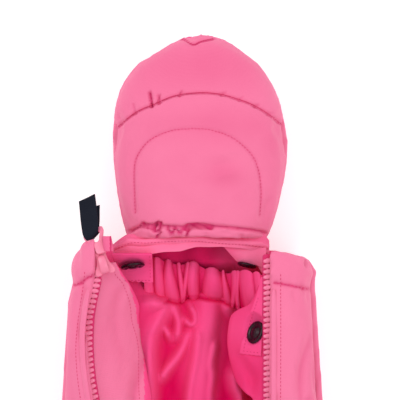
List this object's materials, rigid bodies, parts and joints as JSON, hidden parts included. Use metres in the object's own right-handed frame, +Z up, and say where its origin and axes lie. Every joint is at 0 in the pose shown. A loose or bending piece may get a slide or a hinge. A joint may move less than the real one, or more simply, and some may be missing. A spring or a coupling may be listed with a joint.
{
  "type": "baby snowsuit",
  "caption": "Padded baby snowsuit lying flat on its back, hood and foot covers on, one leg unzipped to show its gathered inner gaiter and snap tabs.",
  "frame": {"origin": "on the floor under the body back, midway between neck and hips", "axes": "+Z up from the floor it lies on, +Y from the neck towards the feet, +X towards the wearer's right side"},
  "size_m": [0.7484, 1.0066, 0.0661],
  "materials": {
    "shell": "padded woven polyester, soft matt",
    "lining": "thin woven lining, matt",
    "fleece": "brushed fleece",
    "zip": "moulded teeth on woven tape",
    "slider": "lacquered",
    "snap": "glossy",
    "webbing": "tightly woven tape"
  },
  "bodies": {
    "garment": {"cuff_left": "shell", "cuff_right": "shell", "facing_inner": "lining", "facing_outer": "lining", "fleece_band": "fleece", "fleece_gusset": "fleece", "foot_left_ankle": "shell", "foot_left_side": "shell", "foot_left_sole": "shell", "foot_left_toe": "shell", "foot_left_vamp": "shell", "foot_right_ankle": "shell", "foot_right_side": "shell", "foot_right_sole": "shell", "foot_right_toe": "shell", "foot_right_vamp": "shell", "gaiter_band": "lining", "gaiter_tab_inner": "lining", "gaiter_tab_outer": "lining", "hem_left_back": "shell", "hem_left_inner": "shell", "hem_left_outer": "shell", "hem_right_back": "shell", "hem_right_front": "shell", "hood_back": "shell", "hood_side_left": "shell", "hood_side_right": "shell", "leg_left_back": "shell", "leg_left_front_inner": "shell", "leg_left_front_outer": "shell", "leg_right_back": "shell", "leg_right_front": "shell", "lining_left_leg": "lining", "sleeve_left_under": "shell", "sleeve_left_upper": "shell", "sleeve_right_under": "shell", "sleeve_right_upper": "shell", "slider": "slider", "snap_fleece": "snap", "snap_inner": "snap", "snap_outer": "snap", "torso_back": "shell", "torso_front_left": "shell", "torso_front_right": "shell", "zip_chain_inner": "zip", "zip_chain_outer": "zip", "zip_guard_inner": "shell", "zip_guard_outer": "shell", "zip_tape_inner": "zip", "zip_tape_outer": "zip"},
    "pull": {"pull": "slider", "puller_tape": "webbing"}
  },
  "joints": [
    {"name": "pull_swing", "type": "hinge", "parent": "garment", "child": "pull", "pos_m": [-0.17789, 0.37019, 0.0581], "axis": [0.891, 0.454, 0], "range_deg": [0, 130]}
  ]
}
